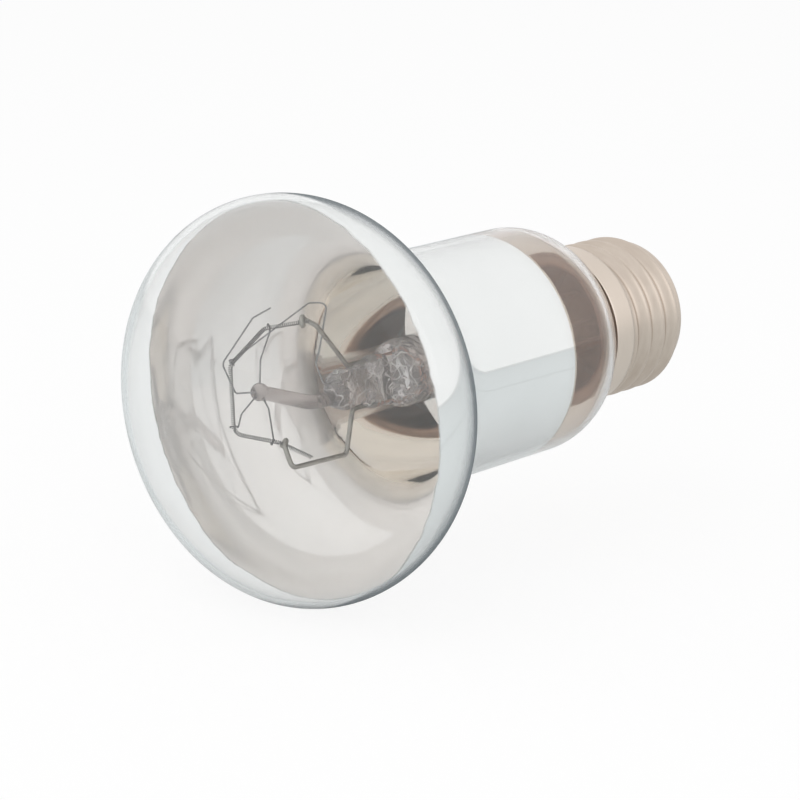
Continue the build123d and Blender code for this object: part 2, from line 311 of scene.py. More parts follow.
def clearGlassLook():
    material, look = newLook("clearGlass")
    flow = noiseOn(look, scale=0.045, detail=2, stretch=(1, 0.6, 1))  # slow waves of blown glass
    seeds = noiseOn(look, scale=1.6, detail=1)
    dust = between(look, noiseOn(look, scale=0.35, detail=6), 0.52, 0.72)
    station = coordinate(look, "Y")
    inside = look.node("ShaderNodeAttribute", {"attribute_name": "innerWall"}, {}, "Fac")
    thin = rise(look, station, filmEnd, bulb["thinStart"])
    thick = rise(look, station, 0, bulb["thickStart"])
    glass = principled(look, {
        "Base Color": mixColours(look, inside * thin, (1, 1, 1, 1), bulb["tint"]),
        "Roughness": 0.012 * dust, "IOR": 1.5, "Transmission Weight": bulb["clear"],
        "Normal": bump(look, flow + 0.004 * seeds, strength=0.05, depth=0.002),
    })
    haze = inside * (bulb["thinHaze"] * thin + bulb["thickHaze"] * thick)  # on the shoulder
    haze = haze * (0.8 + 0.4 * noiseOn(look, scale=0.12, detail=4))
    metal = principled(look, {"Base Color": bulb["haze"], "Metallic": 1.0, "Roughness": 0.4})
    surface = mixLooks(look, haze, glass, metal)
    # painted shade: a dark diffuse mixed in at the bell's grazing edges
    shade = look.node("ShaderNodeBsdfDiffuse", {}, {"Color": bulb["edge"]})
    surface = mixLooks(look, paintedEdgeShade(look, station, inside), surface, shade)
    finishLook(look, surface, absorption(look, bulb["depthColour"], bulb["depthTint"]))
    return material


bulbGlass = drawLine("bulb_glass", onAxis(joined(wallLine(0), wallLine(bulb["wall"])[::-1])))
spinRound(bulbGlass, bulb["steps"])
innerWall = bulbGlass.data.attributes.new("innerWall", "FLOAT", "FACE")
for face in bulbGlass.data.polygons:
    innerWall.data[face.index].value = 1 if outwardness(face) < 0 else 0
dress(bulbGlass, clearGlassLook(), "envelope")
print("bulb glass:", len(bulbGlass.data.polygons), "faces")


# aluminium film on the inside of the bell and neck
film = {
    "gap": 0.004, "thickness": 0.08, "frontLap": 1.4, "fade": 0.7, "steps": 192,
    "ragged": 1.3, "frontSoft": (-0.25, 0.25), "backSoft": (-0.06, 0.06), "backRagged": 0.35,
    "neckColour": (0.97, 0.925, 0.845, 1), "neckWarm": (-4, 3), "widening": 0.045,
    "bellEnd": (-5, 1), "bellRoughness": 0.01, "neckSatin": 0.06, "bellSatin": 0.7,
}
filmFront = widest - film["frontLap"]


def filmLine(inset):
    spare = film["frontLap"] + film["fade"]
    startAngle = -math.degrees(math.asin(spare / (bulb["lensRounding"] - inset)))
    neck = bulb["neckR"] - inset
    neckRun = run((neck, neckStart), (neck, filmEnd + film["fade"]), 10)
    return joined(bellLine(inset, startAngle), neckRun)


def filmLook(name, bloom, dark, light):  # bloom is 0 for a clean mirror
    material, look = newLook(name)
    y = coordinate(look, "Y")
    ragged = (noiseOn(look, scale=0.22, detail=4) - 0.5) * film["ragged"] * mm
    front = rise(look, y + ragged, filmFront, film["frontSoft"])
    back = fall(look, y + film["backRagged"] * ragged, filmEnd, film["backSoft"])
    cover = front * back
    clouded = ramp(look, noiseOn(look, scale=0.06, detail=4), (0.3, dark), (0.7, light))
    warm = bloom * rise(look, y, neckStart, film["neckWarm"])
    colour = mixColours(look, warm, clouded, film["neckColour"])
    bell = bloom * fall(look, y, neckStart, film["bellEnd"])  # the neck is cleaner
    roughness = between(look, noiseOn(look, scale=0.12, detail=5), 0.3, 0.8, 0.02, 0.06)
    pastBell = look.sum("MAXIMUM", y - neckStart * mm, 0.0)
    widening = pastBell * (-film["widening"] * bloom)  # mirrors as if the neck grew wider
    mirror = principled(look, {
        "Base Color": colour, "Metallic": 1.0, "Alpha": cover,
        "Roughness": roughness + film["bellRoughness"] * bell,
        "Normal": bump(look, widening, strength=1.0, depth=1.0),
    })
    satin = principled(look, {
        "Base Color": colour, "Metallic": 0.12, "Roughness": 0.34, "Alpha": cover,
    })
    share = film["neckSatin"] * bloom + film["bellSatin"] * bell
    finishLook(look, mixLooks(look, share, mirror, satin))
    return material


filmInset = bulb["wall"] + film["gap"]
mirrorFilm = drawLine("mirror_film", onAxis(joined(
    filmLine(filmInset),
    filmLine(filmInset + film["thickness"])[::-1],
    filmLine(filmInset)[:1],
)))
spinRound(mirrorFilm, film["steps"])
cleanFilm = filmLook("aluminiumFilm", 0.0, (0.93, 0.935, 0.93), (0.97, 0.97, 0.965))
dullFilm = filmLook("aluminiumBloom", 0.9, (0.985, 0.95, 0.93), (0.995, 0.97, 0.955))
dress(mirrorFilm, cleanFilm, "mirror_coating")
mirrorFilm.data.materials.append(dullFilm)
for face in mirrorFilm.data.polygons:  # the inner side has a dull bloom
    face.material_index = 0 if outwardness(face) > 0 else 1
print("mirror film:", len(mirrorFilm.data.polygons), "faces")


# glass stem: flare tube with a domed end, and the flat press in front of it
stem = {
    "r": 5.5, "wall": 0.8, "domeRounding": 4.0, "domeWall": 2.4, "domeCorner": 1.0,
    "tailGap": 0.02, "steps": 96, "smoothAngle": 35, "density": 45.0,
    # the colour and share for glints in this line are painted highlights along the press creases
    "depthColour": (0.78, 0.757, 0.75, 1), "paintedGlint": (0.98, 0.96, 0.95, 1), "paintedGlintShare": 0.6,
    "pressFront": -77.5, "pressReach": 12.5, "pressSeat": 0.2, "pressFlat": 0.6, "edge": 1.2,
    "edgeSteps": 8, "frontWidth": 5.4, "backWidth": 9.6, "thickness": 3.4, "roundness": 0.66,
    "waist": 0.3, "waistPlace": 0.45, "waistReach": 3.0, "lump": 0.24, "lumpScale": 0.42,
    "sliver": 0.005, "creaseEnd": (4, 9),
}
domeFront = stem["pressFront"] + stem["pressReach"]
domeBack = domeFront + stem["domeRounding"]
domeFlat = stem["r"] - stem["domeRounding"]
cavityFront = domeFront + stem["domeWall"]
cavityR = stem["r"] - stem["wall"]
cavityFlat = cavityR - stem["domeCorner"]
cavityCorner = cavityFront + stem["domeCorner"]
flareR = bulb["tailR"] - bulb["wall"] - stem["r"]
flareStart = bulb["tailEnd"] - flareR
flareCentre = (stem["r"] + flareR, flareStart)
flareEdge = bulb["tailR"] - stem["tailGap"]


def foldsOn(look, scale):  # 0 along each crease
    return look.sum("ABSOLUTE", noiseOn(look, scale, detail=1) - 0.5, 0.0)


def stemGlassLook(name, density, creasesAndGlints):
    material, look = newLook(name)
    pressed = creasesAndGlints * fall(look, coordinate(look, "Y"), domeFront, stem["creaseEnd"])
    draw = noiseOn(look, scale=0.5, detail=3, stretch=(1, 0.12, 1))  # drawn along the tube
    pinch = noiseOn(look, scale=0.32, detail=2)
    foldsAndGlintLines = look.sum("MINIMUM", foldsOn(look, 0.26), 2.6 * foldsOn(look, 0.4))  # left by pincers; the painted glints lie along them too
    height = 0.05 * draw + pressed * (0.2 * draw + 0.7 * pinch - foldsAndGlintLines)
    clear = principled(look, {
        "Base Color": ramp(look, pinch, (0.3, (0.88, 0.82, 0.81)), (0.7, (0.98, 0.95, 0.94))),
        "Roughness": 0.0, "IOR": 1.5, "Transmission Weight": 0.86,
        "Normal": bump(look, height, strength=0.6, depth=0.001),
    })
    # painted glints: a pale, part-metal finish along the press creases, standing in for sparkling
    # highlights
    paintedGlint = principled(look, {"Base Color": stem["paintedGlint"], "Metallic": 0.4, "Roughness": 0.25})
    share = stem["paintedGlintShare"] * pressed * between(look, foldsAndGlintLines, 0.002, 0.014, 1, 0)
    surface = mixLooks(look, share, clear, paintedGlint)
    finishLook(look, surface, absorption(look, stem["depthColour"], density))
    return material


stemTube = drawLine("stem_glass", onAxis(joined(
    run((0, domeFront), (domeFlat, domeFront), 3),
    arc((domeFlat, domeBack), stem["domeRounding"], -90, 0, 12),
    run((stem["r"], domeBack), (stem["r"], flareStart), 16),
    arc(flareCentre, flareR, 180, 90, 10),
    [(flareEdge, bulb["tailEnd"]), (flareEdge, bulb["tailEnd"] + stem["wall"])],
    arc(flareCentre, flareR + stem["wall"], 90, 180, 10),
    run((cavityR, flareStart), (cavityR, cavityCorner), 16),
    arc((cavityFlat, cavityCorner), stem["domeCorner"], 0, -90, 6),
    run((cavityFlat, cavityFront), (0, cavityFront), 4),
)))
spinRound(stemTube, stem["steps"])

pressFront, pressFlat = stem["pressFront"], stem["pressFlat"]
pressBack = domeFront + stem["domeWall"] - stem["pressSeat"]
edgeTurns = [math.pi / 2 * i / stem["edgeSteps"] for i in range(stem["edgeSteps"] + 1)]
pressEdge = [
    (pressFlat + (1 - pressFlat) * math.sin(t), pressFront + stem["edge"] * (1 - math.cos(t)))
    for t in edgeTurns
]
press = drawLine("stem_press", onAxis(joined(
    run((0, pressFront), (pressFlat, pressFront), 4),
    pressEdge,
    run((1, pressFront + stem["edge"]), (1, pressBack), 44),
    run((1, pressBack), (0, pressBack), 4),
)))
spinRound(press, stem["steps"])
for corner in press.data.vertices:  # flattened, wider at the dome, with a waist and lumps
    x, y, z = corner.co / mm
    share, turn = math.hypot(x, z), math.atan2(z, x)
    back = (y - pressFront) / (pressBack - pressFront)
    width = (stem["frontWidth"] + (stem["backWidth"] - stem["frontWidth"]) * back) / 2
    fromWaist = (back - stem["waistPlace"]) * stem["pressReach"] / stem["waistReach"]
    waist = 1 - stem["waist"] * math.exp(-(fromWaist**2))
    flatX = math.copysign(abs(math.cos(turn)) ** stem["roundness"], x)
    flatZ = math.copysign(abs(math.sin(turn)) ** stem["roundness"], z)
    x = flatX * share * stem["thickness"] / 2 * waist
    z = flatZ * share * width
    lump = 1 + stem["lump"] * noise.noise(Vector((x, y, z)) * stem["lumpScale"])
    corner.co = Vector((x * lump, y, z * lump)) * mm
union = stemTube.modifiers.new("press", "BOOLEAN")
union.operation = "UNION"
union.solver = "EXACT"
union.object = press
pick(stemTube)
bpy.ops.object.modifier_apply(modifier="press")
bpy.data.objects.remove(press)
bpy.ops.object.mode_set(mode="EDIT")
bpy.ops.mesh.select_all(action="SELECT")
bpy.ops.mesh.dissolve_degenerate(threshold=stem["sliver"] * mm)  # slivers along the seam
bpy.ops.mesh.quads_convert_to_tris(quad_method="BEAUTY", ngon_method="BEAUTY")
bpy.ops.object.mode_set(mode="OBJECT")
bpy.ops.object.shade_smooth_by_angle(angle=math.radians(stem["smoothAngle"]))
dress(stemTube, stemGlassLook("stemGlass", stem["density"], 1.0), "stem")

# exhaust tube behind the dome
exhaust = {
    "r": 1.5, "bore": 0.9, "drop": 1.5, "tip": 2.0, "seal": 2.0, "steps": 48, "gap": 0.02,
    # the last value sets the creasing and the painted glints of the rods
    "sealR": 0.7, "sealStep": 0.1, "boreStep": 0.6, "density": 1100.0, "creasesAndGlints": 0.15,
}
tipBack = bulb["tailEnd"] + exhaust["tip"]
tipCentre = tipBack - exhaust["r"]
sealFront = tipBack - exhaust["seal"]
exhaustFront = cavityFront + exhaust["gap"]
exhaustTube = drawLine("exhaust_tube_glass", onAxis(joined(
    [(exhaust["bore"], exhaustFront), (exhaust["r"], exhaustFront)],
    run((exhaust["r"], exhaustFront), (exhaust["r"], tipCentre), 8),
    arc((0, tipCentre), exhaust["r"], 0, 90, 8),
    [(0, tipBack), (0, sealFront)],
    [(exhaust["bore"] * exhaust["sealR"], sealFront - exhaust["sealStep"])],
    run((exhaust["bore"], sealFront - exhaust["boreStep"]), (exhaust["bore"], exhaustFront), 8),
), -exhaust["drop"]))
spinRound(exhaustTube, exhaust["steps"], (0, 0, -exhaust["drop"] * mm))
rodGlass = stemGlassLook("rodGlass", exhaust["density"], exhaust["creasesAndGlints"])
dress(exhaustTube, rodGlass, "exhaust_tube")
print("stem:", len(stemTube.data.polygons), "faces")


# wires of the mount
def place(across, depth, height):  # across, from the lens apex, and up
    return Vector((across, lensApex + depth, height))


def roundCorners(route, bends, steps=7):
    points = [route[0]]
    for before, corner, after, bend in zip(route, route[1:], route[2:], bends):
        towards, away = (before - corner).normalized(), (after - corner).normalized()
        half = towards.angle(away) / 2
        middle = corner + (towards + away).normalized() * (bend / math.sin(half))
        start = corner + towards * (bend / math.tan(half)) - middle
        end = corner + away * (bend / math.tan(half)) - middle
        turns = [start.slerp(end, i / steps) for i in range(steps + 1)]  # of unit length
        points += [middle + turn * bend for turn in turns]
    return points + [route[-1]]


def bendWire(name, points, diameter, sides=4, radii=None):
    wire = drawLine(name, [p * mm for p in points])
    pick(wire)
    bpy.ops.object.convert(target="CURVE")
    wire = bpy.context.object
    wire.data.bevel_depth = diameter / 2 * mm
    wire.data.bevel_resolution = sides
    wire.data.use_fill_caps = True
    if radii:
        for point, radius in zip(wire.data.splines[0].points, radii):
            point.radius = radius
    bpy.ops.object.convert(target="MESH")
    wire = bpy.context.object
    bpy.ops.object.mode_set(mode="EDIT")
    bpy.ops.mesh.select_all(action="SELECT")
    bpy.ops.mesh.normals_make_consistent(inside=False)
    bpy.ops.object.mode_set(mode="OBJECT")
    bpy.ops.object.shade_smooth_by_angle(angle=math.radians(mount["smoothAngle"]))
    return wire


mount = {
    "weld": -67.5, "upperHeight": 3.4, "lowerDrop": 3.7, "upperExit": 3.9, "lowerExit": 4.9,
    "innerLead": 0.76, "innerSides": 6, "outerLead": 0.5, "outerSides": 5, "bend": 0.9,
    "support": 0.26, "supportSeat": 0.6, "crimp": -0.04, "hookClearance": 0.04,
    "hookRoundness": 0.85, "pressSeat": 2.0, "pressExit": 1.0, "pressHeight": 1.3,
    "smoothAngle": 50,
}
coil = {
    "diameter": 0.7, "bend": 1.5, "bendSteps": 10, "wire": 0.15, "pitch": 0.3, "perTurn": 12,
    "sides": 1,
}
coilRoute = [
    place(0.4, 20.8, 12.0), place(-5.2, 17.2, 10.6), place(-11.0, 15.6, 4.2),
    place(-10.2, 15.4, -6.4), place(-3.4, 18.2, -7.0), place(-0.2, 22.0, -9.6),
]


def hookedRoute(route, diameter, clearance, runNumber, share):  # ends in a hook round the coil
    runStart = coilRoute[runNumber]
    way = coilRoute[runNumber + 1] - runStart
    hold = runStart + way * share
    reachOut = hold - route[-1]
    beyond = (reachOut - way * (reachOut.dot(way) / way.length_squared)).normalized()
    beside = way.normalized().cross(beyond)
    reach = (coil["diameter"] + diameter) / 2 + clearance
    hook = [
        hold + (beside - beyond) * reach, hold + (beside + beyond) * reach,
        hold + (beyond - beside) * reach, hold - beside * reach,
    ]
    bends = [mount["bend"]] * (len(route) - 1) + [reach * mount["hookRoundness"]] * 3
    return roundCorners([*route, *hook], bends)


def metalLook(name, dark, light, roughness, grain):
    material, look = newLook(name)
    stain = noiseOn(look, scale=0.8, detail=5)
    lines = noiseOn(look, scale=6, detail=3)
    finishLook(look, principled(look, {
        "Base Color": ramp(look, stain, (0.3, dark), (0.7, light)), "Metallic": 1.0,
        "Roughness": between(look, stain, 0.3, 0.7, roughness - 0.08, roughness + 0.1),
        "Normal": bump(look, lines, strength=grain, depth=0.00002),
    }))
    return material


nickelLook = metalLook("nickelWire", (0.30, 0.28, 0.25), (0.48, 0.46, 0.42), 0.35, 0.4)
copperLook = metalLook("copperWire", (0.66, 0.32, 0.2), (0.86, 0.5, 0.36), 0.35, 0.3)
molybdenumLook = metalLook("molybdenumWire", (0.26, 0.255, 0.255), (0.42, 0.41, 0.41), 0.4, 0.3)
tungstenLook = metalLook("tungstenCoil", (0.22, 0.21, 0.2), (0.38, 0.37, 0.36), 0.45, 0.3)

upperRoute = [
    Vector((0, mount["weld"], mount["upperHeight"])),
    Vector((0, pressFront + mount["upperExit"], mount["upperHeight"])),
    place(0.4, 22.4, 11.0),
]
lowerRoute = [
    Vector((0, mount["weld"], -mount["lowerDrop"])),
    Vector((0, pressFront + mount["lowerExit"], -mount["lowerDrop"])),
    place(0.5, 28.4, -10.4), place(-0.4, 18.0, -10.4),
]
upperLine = hookedRoute(upperRoute, mount["innerLead"], mount["crimp"], 0, 0.12)
upperLead = bendWire("lead_upper", upperLine, mount["innerLead"], mount["innerSides"])
dress(upperLead, nickelLook, "inner_lead_upper")
lowerLine = hookedRoute(lowerRoute, mount["innerLead"], mount["crimp"], 4, 0.15)
lowerLead = bendWire("lead_lower", lowerLine, mount["innerLead"], mount["innerSides"])
dress(lowerLead, nickelLook, "inner_lead_lower")

# glass rod whose end is melted to a button
arbor = {
    "r": 1.1, "sides": 10, "drop": 1.0, "seat": 3.0, "straight": 3.5, "bend": 8.0,
    "bendSteps": 14, "button": place(-2.0, 13.0, 2.2), "buttonR": 1.4, "buttonSteps": 14,
    "buttonEnd": 0.995,
}
arborRoute = [
    Vector((0, pressFront + arbor["seat"], -arbor["drop"])),
    Vector((0, pressFront - arbor["straight"], -arbor["drop"])),
    arbor["button"],
]
rodPoints = roundCorners(arborRoute, [arbor["bend"]], arbor["bendSteps"])
rodWay = (rodPoints[-1] - rodPoints[-2]).normalized()
neckIn = math.sqrt(arbor["buttonR"] ** 2 - arbor["r"] ** 2)
buttonReach = arbor["buttonR"] * arbor["buttonEnd"] + neckIn
buttonTurns = [math.pi / 2 * i / arbor["buttonSteps"] for i in range(arbor["buttonSteps"] + 1)]
buttonPlaces = [-neckIn + buttonReach * math.sin(t) for t in buttonTurns]
buttonRadii = [math.sqrt(arbor["buttonR"] ** 2 - s * s) / arbor["r"] for s in buttonPlaces]
rodRadii = [1.0] * (len(rodPoints) - 1) + buttonRadii
rodPoints = rodPoints[:-1] + [arbor["button"] + rodWay * s for s in buttonPlaces]
arborRod = bendWire("arbor_glass", rodPoints, 2 * arbor["r"], arbor["sides"], rodRadii)
dress(arborRod, rodGlass, "arbor")


def fromButton(*points):
    way = (points[0] - arbor["button"]).normalized()
    return [arbor["button"] + way * (arbor["buttonR"] - mount["supportSeat"]), *points]


thin, loose = mount["support"], mount["hookClearance"]
sideRoute = fromButton(
    place(-8.2, 14.0, 0.6), place(-11.9, 14.8, 4.4),
    place(-7.0, 16.6, 12.0), place(-4.6, 18.0, 13.7),
)
pressRoute = [
    Vector((0, pressFront + mount["pressSeat"], mount["pressHeight"])),
    Vector((0, pressFront - mount["pressExit"], mount["pressHeight"])),
    place(-1.6, 24.4, 4.4), place(0.3, 25.0, 14.1), place(-1.8, 23.2, 14.0),
]
supportLines = {
    "support_wire_1": hookedRoute(fromButton(place(-3.4, 14.6, 6.6)), thin, loose, 0, 0.9),
    "support_wire_2": roundCorners(sideRoute, [mount["bend"]] * 3),
    "support_wire_3": hookedRoute(fromButton(place(-2.4, 15.2, -0.9)), thin, loose, 3, 0.85),
    "support_wire_4": hookedRoute(fromButton(place(-7.2, 14.2, -2.4)), thin, loose, 2, 0.9),
    "support_wire_5": hookedRoute(pressRoute, thin, loose, 1, 0.93),
}
for node, line in supportLines.items():
    support = bendWire("hook_" + node[-1], line, thin)
    dress(support, molybdenumLook, node)

# copper leads behind the weld
copper = {
    "bend": 0.45, "step": 1.6, "side": 3.2, "height": 2.2, "r": 4.0, "angle": -53.0,
    "turn": 1.2, "gapR": 11.5, "endR": 12.9, "end": -23.7,
    "clear": 0.7, "beadBack": -8.2, "contactEnd": -0.4,
}


def besideAxis(radius, station):
    turn = math.radians(copper["angle"])
    return Vector((radius * math.cos(turn), station, radius * math.sin(turn)))


shellBack = bulb["tailEnd"] + stem["wall"] + copper["turn"]
shellRoute = [
    Vector((0, mount["weld"], mount["upperHeight"])),
    Vector((0, cavityFront + copper["step"], mount["upperHeight"])),
    Vector((copper["side"], cavityFront + 2 * copper["step"], copper["height"])),
    besideAxis(copper["r"], cavityFront + 3 * copper["step"]),
    besideAxis(copper["r"], shellBack),
    besideAxis(copper["gapR"], shellBack),
    besideAxis(copper["gapR"], copper["end"]),
    besideAxis(copper["endR"], copper["end"]),
]
contactRoute = [
    Vector((0, mount["weld"], -mount["lowerDrop"])),
    Vector((0, tipBack + copper["clear"], -mount["lowerDrop"])),
    Vector((0, copper["beadBack"] - copper["clear"], 0)),
    Vector((0, copper["contactEnd"], 0)),
]
shellLine = roundCorners(shellRoute, [copper["bend"]] * 6)
shellLead = bendWire("copper_shell_lead", shellLine, mount["outerLead"], mount["outerSides"])
dress(shellLead, copperLook, "outer_lead_shell")
contactLine = roundCorners(contactRoute, [mount["bend"]] * 2)
contactLead = bendWire("copper_contact_lead", contactLine, mount["outerLead"], mount["outerSides"])
dress(contactLead, copperLook, "outer_lead_contact")

# tungsten coil: a fine helix along its course
course = roundCorners(coilRoute, [coil["bend"]] * 4, coil["bendSteps"])
marks = [0.0]
for here, there in zip(course, course[1:]):
    marks.append(marks[-1] + (there - here).length)


def along(distance):  # place and direction on the course
    for i in range(len(course) - 1):
        if distance <= marks[i + 1] or i == len(course) - 2:
            share = (distance - marks[i]) / (marks[i + 1] - marks[i])
            way = (course[i + 1] - course[i]).normalized()
            return course[i].lerp(course[i + 1], share), way


turnR = (coil["diameter"] - coil["wire"]) / 2
helix = []
across = Vector((0, 0, 1))
count = int(marks[-1] / coil["pitch"] * coil["perTurn"])
for i in range(count + 1):
    spot, way = along(marks[-1] * i / count)
    across = (across - way * across.dot(way)).normalized()
    turn = 2 * math.pi * i / coil["perTurn"]
    helix.append(spot + (across * math.cos(turn) + way.cross(across) * math.sin(turn)) * turnR)
bpy.ops.object.select_all(action="DESELECT")
bpy.ops.curve.primitive_nurbs_path_add()
coilWire = bpy.context.object
coilWire.name = "filament_coil"
coilWire.data.splines.clear()
thread = coilWire.data.splines.new("POLY")
thread.points.add(len(helix) - 1)
for point, spot in zip(thread.points, helix):
    point.co = (*(spot * mm), 1)
coilWire.data.bevel_depth = coil["wire"] / 2 * mm
coilWire.data.bevel_resolution = coil["sides"]
coilWire.data.use_fill_caps = True
bpy.ops.object.convert(target="MESH")
coilWire = bpy.context.object
bpy.ops.object.shade_smooth()
dress(coilWire, tungstenLook, "filament")
print("mount wires done, coil of", len(helix), "points")


# screw cap: a rolled sheet shell
cap = {
    "rim": -23.9, "rimIn": 0.06, "rimBack": 0.12, "skirtR": 13.35, "skirtEnd": -19.5, "step": 0.9,
    "rootR": 12.15, "crestR": 13.15, "pitch": 3.629, "end": -6.0, "endRounding": 1.6, "endTurn": 58,
    "mouth": -4.3, "mouthR": 9.2, "sheet": 0.35, "steps": 160, "smoothAngle": 60,
    "threadStart": 0.1, "threadIn": 1.2, "threadEnd": 0.4, "threadOut": 1.8,
    # painted light: a paler colour and its share by the rim, lifting the shade of the glass
    # shoulder
    "skirtPaintedLight": (0.74, 0.655, 0.575, 1), "skirtPaintedLightShare": 0.6,
}
threadFront = cap["skirtEnd"] + cap["step"]
endCentre = (cap["rootR"] - cap["endRounding"], cap["end"])
endArc = arc(endCentre, cap["endRounding"], 0, cap["endTurn"], 8)
capLine = joined(
    [(cap["skirtR"] - cap["rimIn"], cap["rim"])],
    run((cap["skirtR"], cap["rim"] + cap["rimBack"]), (cap["skirtR"], cap["skirtEnd"]), 10),
    run((cap["skirtR"], cap["skirtEnd"]), (cap["rootR"], threadFront), 6),
    run((cap["rootR"], threadFront), (cap["rootR"], cap["end"]), 64),
    endArc,
    run(endArc[-1], (cap["mouthR"], cap["mouth"]), 4),
)
capShell = drawLine("cap_shell_rolled", onAxis(capLine))
spinRound(capShell, cap["steps"], angle=cap["smoothAngle"])


def eased(share):
    share = min(max(share, 0), 1)
    return share * share * (3 - 2 * share)


for vertex in capShell.data.vertices:  # roll the thread into the sheet
    x, y, z = vertex.co / mm
    radius = math.hypot(x, z)
    pastSkirt = y - cap["skirtEnd"]
    fadeIn = eased((pastSkirt - cap["threadStart"]) / cap["threadIn"])
    fadeOut = eased((cap["end"] + cap["threadEnd"] - y) / cap["threadOut"])
    wave = 0.5 + 0.5 * math.cos(2 * math.pi * pastSkirt / cap["pitch"] - math.atan2(x, z))
    lift = (cap["crestR"] - cap["rootR"]) * wave * (fadeIn * fadeOut)
    vertex.co.x *= (radius + lift) / radius
    vertex.co.z *= (radius + lift) / radius
sheet = capShell.modifiers.new("sheet", "SOLIDIFY")
sheet.thickness = cap["sheet"] * mm
sheet.offset = -1
pick(capShell)
bpy.ops.object.modifier_apply(modifier="sheet")
bpy.ops.object.shade_smooth_by_angle(angle=math.radians(cap["smoothAngle"]))


def capMetalLook():
    material, look = newLook("capNickel")
    cloud = noiseOn(look, scale=0.09, detail=5)
    streak = noiseOn(look, scale=1.4, detail=4, stretch=(0.25, 1.6, 0.25))  # rolled round the axis
    fine = noiseOn(look, scale=3.5, detail=2)
    stain = 0.6 * cloud + 0.4 * streak
    colour = ramp(look, stain, (0.3, (0.53, 0.45, 0.38)), (0.72, (0.68, 0.60, 0.525)))
    paintedSkirtLight = fall(look, coordinate(look, "Y"), cap["skirtEnd"], (0, cap["step"]))  # painted light: paler by the rim, lifting the shade cast there by the glass shoulder
    finishLook(look, principled(look, {
        "Base Color": mixColours(look, cap["skirtPaintedLightShare"] * paintedSkirtLight, colour, cap["skirtPaintedLight"]),
        "Metallic": 1.0,
        "Roughness": between(look, 0.5 * cloud + 0.5 * streak, 0.3, 0.7, 0.33, 0.46),
        "Normal": bump(look, streak + 0.5 * fine, strength=0.15, depth=0.0001),
    }))
    return material


dress(capShell, capMetalLook(), "cap_shell")
print("cap shell:", len(capShell.data.polygons), "faces")

# cement ring under the cap's rim
cement = {
    "inset": 1.0, "steps": 192, "tailGap": 0.06, "shellGap": 0.01,
    "coneR": 11.75, "coneStep": 0.8, "backGap": 0.2,
}
shellIn = cap["skirtR"] - cap["sheet"] - cement["shellGap"]
tailOut = bulb["tailR"] + cement["tailGap"]
cementFront = cap["rim"] + cement["inset"]
cementBack = bulb["tailEnd"] - cement["backGap"]
coneBack = cap["skirtEnd"] + cement["coneStep"]
cementRing = drawLine("cement_ring", onAxis(joined(
    run((tailOut, cementFront), (shellIn, cementFront), 6),
    [(shellIn, cap["skirtEnd"]), (cement["coneR"], coneBack), (cement["coneR"], cementBack)],
    run((tailOut, cementBack), (tailOut, cementFront), 8),
)))
spinRound(cementRing, cement["steps"])


def cementLook():
    material, look = newLook("brownCement")
    lump = noiseOn(look, scale=0.5, detail=4)
    finishLook(look, principled(look, {
        "Base Color": ramp(look, lump, (0.25, (0.38, 0.31, 0.26)), (0.75, (0.48, 0.395, 0.34))),
        "Roughness": between(look, lump, 0.2, 0.8, 0.7, 0.95),
        "Normal": bump(look, lump, strength=0.15, depth=0.0001),
    }))
    return material


cementMaterial = cementLook()
dress(cementRing, cementMaterial, "cap_cement")

# black glass insulator, contact plate and solder at the cap's end
tip = {
    "steps": 96, "smoothAngle": 50, "smear": -0.5,
    "hole": 0.6, "depth": -8.2, "beadR": 11.7, "beadStep": 0.3,
    "mouthGap": 0.02, "mouthStep": 0.05, "mouthIn": 0.05, "bulgeIn": 0.75, "bulgeStep": 0.2,
    "rounding": 0.7, "coneFoot": (8.4, -3.62), "coneOut": 0.5, "coneEnd": -1.95,
    "ledge": 0.5, "ledgeIn": 0.1, "ledgeCentre": -2.3,
    "contactR": 4.8, "contactBack": -1.6, "contactFront": -0.9, "contactGap": 0.01,
    "contactEdge": 0.25, "contactFlat": 0.6,
    "solderR": 3.5, "solderGap": 0.005, "landR": 1.8, "solderSteps": 64, "solderAngle": 60,
    "solderSide": [(3.32, -0.62), (3.0, -0.36), (2.55, -0.14), (2.15, -0.04)],
}
ledgeR = tip["contactR"] + tip["ledge"]
ledgeFlat = ledgeR - tip["ledgeIn"]
beadEnd = cap["end"] - tip["beadStep"]
mouthFront = cap["mouth"] - cap["sheet"] - tip["mouthStep"]
bulgeCentre = (cap["mouthR"] - tip["bulgeIn"], cap["mouth"] - tip["bulgeStep"])
blackBead = drawLine("insulator_bead", onAxis(joined(
    [(tip["hole"], tip["depth"]), (tip["beadR"], tip["depth"]), (tip["beadR"], beadEnd)],
    run((tip["beadR"], beadEnd), (cap["mouthR"] - tip["mouthGap"], mouthFront), 4),
    [(cap["mouthR"] - tip["mouthIn"], cap["mouth"])],
    arc(bulgeCentre, tip["rounding"], 20, 62, 5),
    run(tip["coneFoot"], (ledgeR + tip["coneOut"], tip["coneEnd"]), 8),
    arc((ledgeFlat, tip["ledgeCentre"]), tip["rounding"], 55, 90, 4),
    run((ledgeFlat, tip["contactBack"]), (tip["hole"], tip["contactBack"]), 5),
    run((tip["hole"], tip["contactBack"]), (tip["hole"], tip["depth"]), 3),
)))
spinRound(blackBead, tip["steps"], angle=tip["smoothAngle"])


def blackGlassLook():
    material, look = newLook("blackGlass")
    swirl = noiseOn(look, scale=0.25, detail=4)
    pits = between(look, noiseOn(look, scale=1.3, detail=3), 0.62, 0.75)
    dark, light = (0.012, 0.010, 0.016), (0.035, 0.028, 0.045)
    finishLook(look, principled(look, {
        "Base Color": ramp(look, swirl, (0.3, dark), (0.75, light)),
        "Roughness": 0.08 + 0.3 * pits, "IOR": 1.52,
        "Normal": bump(look, swirl - 0.3 * pits, strength=0.4, depth=0.0004),
    }))
    return material


